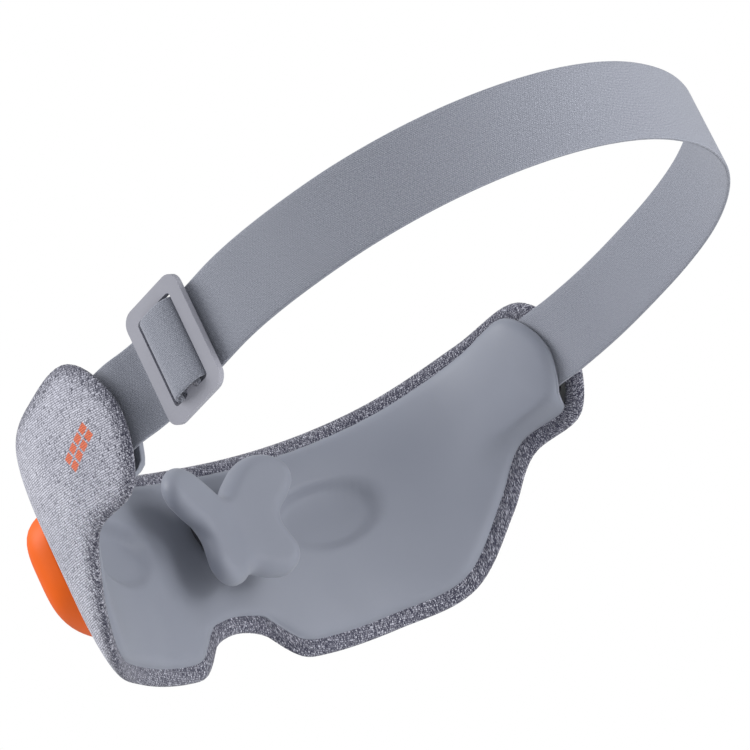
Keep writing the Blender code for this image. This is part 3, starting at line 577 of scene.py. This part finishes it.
def wing_mark(f, flat):
    """A plain woven mark of eight blocks on the wearer's left wing: 1 inside it."""
    turned = f.split(f.stretched(flat, (1.0, 1.0, 1.0), -MARK_TURN))
    c, s = math.cos(MARK_TURN), math.sin(MARK_TURN)
    along = f.maths("SUBTRACT", turned.outputs["X"], MARK_AT[0] * c + MARK_AT[1] * s)
    over = f.maths("SUBTRACT", turned.outputs["Y"], MARK_AT[1] * c - MARK_AT[0] * s)
    half_along, half_over = MARK_SIZE[0] / 2, MARK_SIZE[1] / 2
    wave = f.maths("SINE", f.maths("MULTIPLY", along, MARK_COLUMNS * math.pi / MARK_SIZE[0]))
    column = f.maths("ABSOLUTE", wave)
    row = f.maths("ABSOLUTE", over)
    in_length = f.ramp(f.maths("ABSOLUTE", along), half_along, half_along + 0.2, 1.0, 0.0)
    in_width = f.ramp(row, half_over, half_over + 0.2, 1.0, 0.0)
    inside = f.maths("MULTIPLY", in_length, in_width)
    blocks = f.maths("MULTIPLY", f.ramp(column, MARK_GAP, 0.4), f.ramp(row, MARK_GAP, 0.4))
    return f.maths("MULTIPLY", inside, blocks)


def silicone_finish():
    """Matt silicone: a very fine skin, with faint clouds of tone."""
    sockets = {"Specular_IOR_Level": 0.35, "Sheen_Weight": 0.12, "Sheen_Roughness": 0.6}
    f = Finish("soft_silicone", (0.24, 0.255, 0.305), 0.55, **sockets)
    place = f.place()
    cloud = f.noise(place, 18.0, 3.0)
    colour = f.blend(f.ramp(cloud, 0.3, 0.7), (0.225, 0.24, 0.29), (0.255, 0.27, 0.32))
    grain = f.noise(place, 2600.0, 2.0)
    rough = f.ramp(cloud, 0.3, 0.7, 0.50, 0.60)
    return f.wear(colour, rough, grain, 0.02, 0.35)


def webbing_finish():
    """Fine woven elastic: ribs along the strap, crossed by its weft."""
    f = Finish("woven_elastic", (0.28, 0.29, 0.34), 0.9, Sheen_Weight=0.2, Sheen_Roughness=0.5)
    flat = f.flat()
    split = f.split(flat)
    along, over = split.outputs["X"], split.outputs["Y"]
    warp = f.maths("ABSOLUTE", f.maths("SINE", f.maths("MULTIPLY", over, math.pi / WARP)))
    shift = f.maths("MULTIPLY", f.maths("FLOOR", f.maths("DIVIDE", over, WARP)), 0.5)
    weft_at = f.maths("MULTIPLY_ADD", along, 1 / WEFT, shift)
    weft = f.maths("ABSOLUTE", f.maths("SINE", f.maths("MULTIPLY", weft_at, math.pi)))
    weave = f.maths("MULTIPLY", warp, weft)
    fuzz = f.noise(f.stretched(flat, (2.0, 2.6, 1.0)), 1.0, 3.0, 0.7)
    tone = f.ramp(f.maths("MULTIPLY_ADD", weave, 0.18, f.maths("MULTIPLY", fuzz, 0.82)), 0.32, 0.68)
    colour = f.blend(tone, (0.175, 0.185, 0.225), (0.40, 0.415, 0.475))
    return f.wear(colour, None, f.maths("ADD", weave, fuzz), 0.10, 0.6)


def plastic_finish(name, colour, roughness, grain=0.25, shade=0.9, **sockets):
    """Moulded plastic: a fine spark texture and slightly uneven gloss."""
    f = Finish(name, colour, roughness, **sockets)
    place = f.place()
    cloud = f.noise(place, 35.0, 3.0)
    darker = tuple(c * shade for c in colour)
    tint = f.blend(f.ramp(cloud, 0.3, 0.7), darker, colour)
    rough = f.ramp(cloud, 0.3, 0.7, roughness - 0.04, roughness + 0.05)
    return f.wear(tint, rough, f.noise(place, 3000.0, 2.0), 0.02, grain)


def metal_finish(name, colour, roughness):
    f = Finish(name, colour, roughness, Metallic=1.0)
    lines = f.noise(f.stretched(f.place(), (400.0, 6000.0, 400.0)), 1.0, 2.0)
    return f.wear(None, f.ramp(lines, 0.3, 0.7, roughness - 0.08, roughness + 0.1), lines, 0.01, 0.2)


# --- The mask ------------------------------------------------------------------------------------


def shares(count):
    return [k / count for k in range(count + 1)]


def make_cover(sheet, finish):
    rings = [(COVER_RING, share, cover_front) for share in shares(9)]
    rings += [(COVER_RING * (1 - share) ** 2, 1, cover_front) for share in shares(16)[1:]]
    rings += [(LIP_WIDTH * share**1.6, 1, cover_back) for share in shares(12)[1:]]
    rings += [(inset, 1, cover_inner_back) for inset in (LIP_WIDTH, 3.4, 2.0, CLOTH)]
    rings += [(inset, 1, cover_inner_front) for inset in (2.0, 4.0, 8.0, COVER_RING)]
    rings += [(COVER_RING, share, cover_inner_front) for share in (0.5, 0.0)]
    cover = loft("twill_cover", sheet, rings, wrap, finish)
    cut_round(cover, COVER_HOLE, -40.0, 20.0)
    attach(cover, "mask")
    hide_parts("fabric_cover")


def make_liner(sheet, finish):
    inset = LINER_INSET
    rings = [(LINER_FRONT_RING, share, liner_front) for share in (0.0, 0.5, 1.0)]
    rings += [(9.0, 1, liner_front), (inset + 0.4, 1, liner_front), (inset, 1, liner_front)]
    rings += [(inset + LINER_RING * share**2, 1, liner_back) for share in shares(12)]
    rings += [(inset + LINER_RING, 1 - share, liner_back) for share in shares(24)[1:]]
    liner = loft("soft_liner", sheet, rings, wrap, finish)
    cut_round(liner, LINER_HOLE, -40.0, 30.0)
    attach(liner, "mask")
    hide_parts("silicone_liner")


# --- The massage head ----------------------------------------------------------------------------


def head_place(x, z, n):
    fold = HEAD_FOLD * (np.hypot(x, HEAD_FOLD_ROUND) - HEAD_FOLD_ROUND)
    return np.stack([x, HEAD_CLEAR + fold + n, z + 0 * x], axis=-1)


def make_head(finish):
    loop = smooth_curve(mirrored_loop(HEAD_LINE), 16, closed=True)
    sheet = round_sheet(loop, HEAD_CENTRE, 168)

    def face(x, z):
        return HEAD_THICK * (HEAD_EDGE + (1 - HEAD_EDGE) * bulge(inset_of(x, z, loop), HEAD_FACE_ROUND))

    def back(x, z):
        return HEAD_THICK * HEAD_EDGE * (1 - bulge(inset_of(x, z, loop), HEAD_BACK_ROUND))

    rings = [(HEAD_RING, share, face) for share in shares(12)]
    rings += [(HEAD_RING * (1 - share) ** 2, 1, face) for share in shares(12)[1:]]
    rings += [(HEAD_BACK_RING * share**2, 1, back) for share in shares(9)[1:]]
    rings += [(HEAD_BACK_RING, share, back) for share in (0.7, 0.35, 0.0)]
    pad = loft("kneading_pad", sheet, rings, head_place, finish)
    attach(pad, "kneading_head")
    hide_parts("head_pad")


# --- The pod on the front ------------------------------------------------------------------------


def pod_depth(s, z, wall=0.0):
    """The dome's surface, or a surface the wall's thickness inside it."""
    half_s, half_z = POD_HALF_S - wall, POD_HALF_Z - wall
    share = (abs(s / half_s) ** POD_SQUARE + abs((z - POD_Z) / half_z) ** POD_SQUARE) ** (1 / POD_SQUARE)
    edge = cover_front(s, z) + POD_STAND
    rise = np.maximum(1 - np.minimum(share, 1.0) ** POD_DOME, 0.0) ** (1 / POD_DOME)
    return edge + (POD_PEAK - wall - edge) * rise


def make_pod(finish):
    centre = (0.0, POD_Z)
    sheet = round_sheet(superellipse(centre, POD_HALF_S, POD_HALF_Z, POD_SQUARE), centre, 180)
    inner = (POD_HALF_S - POD_WALL) / POD_HALF_S

    def inside(s, z):
        return pod_depth(s, z, POD_WALL)

    outs = [1 - (1 - share) ** 2 for share in shares(28)]
    rings = [(0, share, pod_depth) for share in outs]
    rings += [(0, inner * share, inside) for share in (0.975, 0.93, 0.85, 0.7, 0.5, 0.25, 0.0)]
    dome = loft("pod_dome", sheet, rings, wrap, finish)
    cut_round(dome, RING_OUTER + GAP, -50.0, -18.0, centre)
    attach(dome, "mask")
    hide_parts("pod_cover")


# --- The strap -----------------------------------------------------------------------------------


def strap_path():
    """Points along the middle of the strap, from inside one wing round the head to the other."""
    points = []
    for s, n in STRAP_TUCK:
        x, y, _ = wrap(s, 0.0, n)
        points.append((x, y, STRAP_ROUTE[0][2] - TUCK_SLOPE * (TUCK_END - s)))
    points += STRAP_ROUTE
    for s, n in reversed(STRAP_TUCK):
        x, y, _ = wrap(-s, 0.0, n)
        points.append((x, y, STRAP_ROUTE[-1][2] - TUCK_SLOPE * (TUCK_END - s)))
    return smooth_curve(points, WEBBING_FINE, closed=False)


def webbing(name, path, outward, width, thick, finish):
    """A flat upright band with rounded edges along a path. flat runs along it and across it."""
    half, edge, lanes = width / 2, thick / 2, 10
    up = np.array((0.0, 0.0, 1.0))
    turns = np.linspace(0, math.pi, 7)[1:-1]
    section = [(-half + edge + (width - thick) * k / lanes, 1.0) for k in range(lanes + 1)]
    section += [(half - edge * (1 - math.sin(a)), math.cos(a)) for a in turns]
    section += [(v, -m) for v, m in section[lanes::-1]]
    section += [(-half + edge * (1 - math.sin(a)), -math.cos(a)) for a in turns]
    step = np.linalg.norm(np.diff(path, axis=0), axis=1)
    along = np.concatenate([[0.0], np.cumsum(step)])
    points, flats = [], []
    for point, out, travel in zip(path, outward, along):
        for v, m in section:
            points.append(point + up * v + out * (m * edge))
            flats.append((travel, v, 0.0))
    count = len(section)
    index = np.arange(len(points)).reshape(-1, count)
    faces = loft_faces(index)
    faces.append(tuple(index[0][::-1]))
    faces.append(tuple(index[-1]))
    return mesh_object(name, points, faces, finish, flats)


def unit_rows(vectors):
    return vectors / np.linalg.norm(vectors, axis=1)[:, None]


def make_strap(finish):
    path = strap_path()
    outward = unit_rows(np.cross(unit_rows(np.gradient(path, axis=0)), (0.0, 0.0, 1.0)))
    strap = webbing("head_strap", path, outward, STRAP_WIDTH, STRAP_THICK, finish)
    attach(strap, "mask")
    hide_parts("strap_band")


def make_fold(finish):
    """The strap where it goes over the buckle's middle bar."""
    start, end = np.array(STRAP_ROUTE[2]), np.array(STRAP_ROUTE[5])
    along = (end - start) / np.linalg.norm(end - start)
    outward = np.cross(along, (0.0, 0.0, 1.0))
    outward /= np.linalg.norm(outward)
    middle = start + (end - start) * BUCKLE_AT
    slot_high = BUCKLE_LENGTH / 2 - BUCKLE_BAR
    half = FOLD_THICK / 2
    crest = BUCKLE_LIFT + BUCKLE_THICK + 2 * GAP + FOLD_RISE + half
    foot = STRAP_THICK / 2 + GAP
    turn = np.linspace(0, math.pi, 121)
    u = (slot_high - GAP - half) * -np.sign(np.cos(turn)) * abs(np.cos(turn)) ** 0.6
    lift = foot + (crest - foot) * np.clip(np.sin(turn), 0, 1) ** 0.85
    path = middle + u[:, None] * along + lift[:, None] * outward
    tangent = unit_rows(np.gradient(path, axis=0))
    normal = np.cross(np.cross(along, outward), tangent)
    fold = webbing("buckle_fold", path, normal, FOLD_WIDTH, FOLD_THICK, finish)
    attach(fold, "buckle")
    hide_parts("strap_fold")


# --- CAD nodes that stay -------------------------------------------------------------------------


def dress(names, finish, bevel=0.0):
    """Gives CAD nodes a finish and softened edges."""
    for name in names:
        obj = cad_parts[name]
        obj.data.materials.clear()
        obj.data.materials.append(finish)
        if bevel:
            modifier = obj.modifiers.new("edges", "BEVEL")
            modifier.width = bevel * MM
            modifier.segments = 3
            modifier.limit_method = "ANGLE"
            modifier.angle_limit = math.radians(35)


# --- Stage, light and camera ---------------------------------------------------------------------

CAMERA_AT = (53.8, 50.7, 1290.8)  # right, up and back of the origin, in the picture's own axes
CAMERA_TURN, CAMERA_TILT, CAMERA_ROLL = 130.16, -15.34, -25.97
LENS = 204.6


def camera_axes():
    """The picture's right, up and back directions."""
    a, e, roll = (math.radians(v) for v in (CAMERA_TURN, CAMERA_TILT, CAMERA_ROLL))
    right = Vector((math.cos(a), math.sin(a), 0))
    back = Vector((math.sin(a) * math.cos(e), -math.cos(a) * math.cos(e), math.sin(e)))
    up = back.cross(right)
    turned_right = math.cos(roll) * right + math.sin(roll) * up
    turned_up = -math.sin(roll) * right + math.cos(roll) * up
    return turned_right, turned_up, back


def make_camera():
    right, up, back = camera_axes()
    data = bpy.data.cameras.new("camera")
    data.lens = LENS
    data.sensor_width = 36.0
    data.clip_start, data.clip_end = 0.05, 50.0
    camera = bpy.data.objects.new("camera", data)
    place = (right * CAMERA_AT[0] + up * CAMERA_AT[1] + back * CAMERA_AT[2]) * MM
    turn = Matrix((right, up, back)).transposed()
    camera.matrix_world = Matrix.Translation(place) @ turn.to_4x4()
    bpy.context.scene.collection.objects.link(camera)
    bpy.context.scene.camera = camera


def area_light(name, towards, distance, size, power):
    """A soft square light that faces the object, in the picture's right, up and back axes."""
    right, up, back = camera_axes()
    direction = (right * towards[0] + up * towards[1] + back * towards[2]).normalized()
    data = bpy.data.lights.new(name, "AREA")
    data.size = size
    data.energy = power
    light = bpy.data.objects.new(name, data)
    light.location = Vector((0.0, 0.1, 0.0)) + direction * distance
    light.rotation_mode = "QUATERNION"
    light.rotation_quaternion = direction.to_track_quat("Z", "Y")
    bpy.context.scene.collection.objects.link(light)


def make_stage():
    made = bmesh.new()
    bmesh.ops.create_grid(made, x_segments=1, y_segments=1, size=6.0)
    mesh = bpy.data.meshes.new("floor")
    made.to_mesh(mesh)
    made.free()
    floor = bpy.data.objects.new("floor", mesh)
    floor.location = (0.0, 0.0, -0.42)
    bpy.context.scene.collection.objects.link(floor)
    finish = Finish("pale_floor", (0.86, 0.86, 0.86), 0.9)
    tone = finish.noise(finish.place(), 2.0, 2.0)
    mesh.materials.append(finish.wear(finish.blend(tone, (0.85, 0.85, 0.85), (0.88, 0.88, 0.88))))

    world = bpy.data.worlds.new("studio")
    world.use_nodes = True
    tree = world.node_tree
    backdrop = tree.nodes["Background"]
    backdrop.inputs["Color"].default_value = (1.0, 1.0, 1.0, 1.0)
    ambient = tree.nodes.new("ShaderNodeBackground")
    ambient.inputs["Color"].default_value = (0.93, 0.96, 1.0, 1.0)
    ambient.inputs["Strength"].default_value = 0.40
    ray = tree.nodes.new("ShaderNodeLightPath")
    mix = tree.nodes.new("ShaderNodeMixShader")
    tree.links.new(ray.outputs["Is Camera Ray"], mix.inputs[0])
    tree.links.new(ambient.outputs[0], mix.inputs[1])
    tree.links.new(backdrop.outputs[0], mix.inputs[2])
    tree.links.new(mix.outputs[0], tree.nodes["World Output"].inputs["Surface"])
    scene = bpy.context.scene
    scene.world = world
    scene.view_settings.view_transform = "Standard"
    area_light("key", (1.0, 0.75, 0.35), 1.3, 0.9, 10.0)
    area_light("side", (0.9, 0.2, 0.65), 1.3, 0.5, 6.0)
    area_light("fill", (-1.0, 0.4, -0.05), 1.4, 0.8, 18.0)


def main():
    make_camera()
    make_stage()
    twill = twill_finish()
    silicone = silicone_finish()
    woven = webbing_finish()
    orange = plastic_finish("orange_moulding", (0.90, 0.135, 0.006), 0.5, Specular_IOR_Level=0.25)
    dark = plastic_finish("dark_moulding", (0.035, 0.035, 0.042), 0.5)
    sheet = mask_sheet()
    make_cover(sheet, twill)
    make_liner(sheet, silicone)
    make_head(silicone)
    make_pod(orange)
    make_strap(woven)
    make_fold(woven)
    dress(["strap_buckle"], plastic_finish("buckle_moulding", (0.37, 0.37, 0.42), 0.38), 0.5)
    dress(["power_button"], orange, 0.2)
    dress(["head_carrier", "drive_chassis", "pod_base", "strap_anchor_left", "strap_anchor_right"], dark)
    dress(["strap_end_loop"], plastic_finish("tape", (0.20, 0.21, 0.25), 0.85))
    dress(["light_ring"], plastic_finish("frosted_ring", (0.85, 0.85, 0.86), 0.3))
    dress(["foam_core"], plastic_finish("foam", (0.10, 0.10, 0.11), 0.95, grain=1.0))
    dress(["flex_frame"], plastic_finish("frame_sheet", (0.70, 0.70, 0.67), 0.5))
    dress(["heater_left", "heater_right"], plastic_finish("heater_film", (0.55, 0.30, 0.08), 0.3))
    dress(["circuit_board"], plastic_finish("solder_mask", (0.02, 0.16, 0.06), 0.4))
    dress(["button_switch"], plastic_finish("black_moulding", (0.02, 0.02, 0.02), 0.4))
    dress(["battery"], plastic_finish("battery_wrap", (0.35, 0.36, 0.38), 0.3))
    dress(["drive_gear"], plastic_finish("nylon", (0.80, 0.79, 0.74), 0.35))
    dress(["pinion", "shaft_bush"], metal_finish("turned_brass", (0.75, 0.55, 0.25), 0.3))
    steel = ["head_shaft", "gear_motor", "charging_port"] + [f"pod_screw_{k}" for k in range(1, 5)]
    dress(steel, metal_finish("plain_steel", (0.62, 0.62, 0.64), 0.3))


main()
